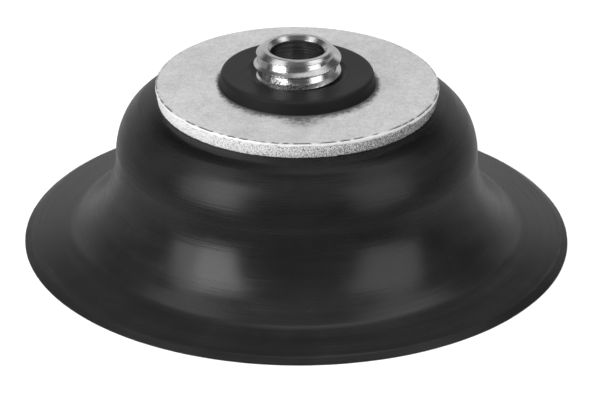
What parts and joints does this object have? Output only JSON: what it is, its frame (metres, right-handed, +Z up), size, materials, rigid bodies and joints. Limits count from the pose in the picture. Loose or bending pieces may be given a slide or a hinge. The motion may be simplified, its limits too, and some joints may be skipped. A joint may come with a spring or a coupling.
{
  "type": "vacuum suction cup",
  "caption": "Deep round vacuum suction cup: black elastomer bell with a thin flared sealing lip, a steel support plate, and a hollow male threaded stub that carries the vacuum.",
  "frame": {"origin": "centre of the sealing plane, on the cup's axis, at the height where the lip's edge rests on the workpiece", "axes": "+Z runs up the axis from the workpiece to the threaded stub. The cup is round, so +X and +Y are two directions across it; the reference view looks along +Y and down."},
  "size_m": [0.0624, 0.0624, 0.0233],
  "materials": {
    "stub_zinc": "turned steel, bright zinc, fine turning marks",
    "plate_zinc": "punched steel, satin zinc, faintly mottled",
    "elastomer": "semi-gloss moulded nitrile rubber with fine concentric mould marks"
  },
  "bodies": {
    "hub": {"threaded_stub": "stub_zinc", "support_plate": "plate_zinc", "cup_crown": "elastomer"},
    "wall": {"cup_wall": "elastomer"},
    "skirt": {"cup_skirt": "elastomer"},
    "lip": {"sealing_lip": "elastomer"}
  },
  "joints": [
    {"name": "lip_stroke", "type": "slide", "parent": "hub", "child": "wall", "axis": [0, 0, 1], "range_m": [0, 0.004], "stiffness_N_per_m": 4000, "deforming": ["cup_wall"]},
    {"name": "lip_tilt_x", "type": "hinge", "parent": "wall", "child": "skirt", "pos_m": [0, 0, 0.006], "axis": [1, 0, 0], "range_deg": [-4, 4], "stiffness_Nm_per_rad": 1.2, "deforming": ["cup_skirt"]},
    {"name": "lip_tilt_y", "type": "hinge", "parent": "skirt", "child": "lip", "pos_m": [0, 0, 0.006], "axis": [0, 1, 0], "range_deg": [-4, 4], "stiffness_Nm_per_rad": 1.2}
  ]
}
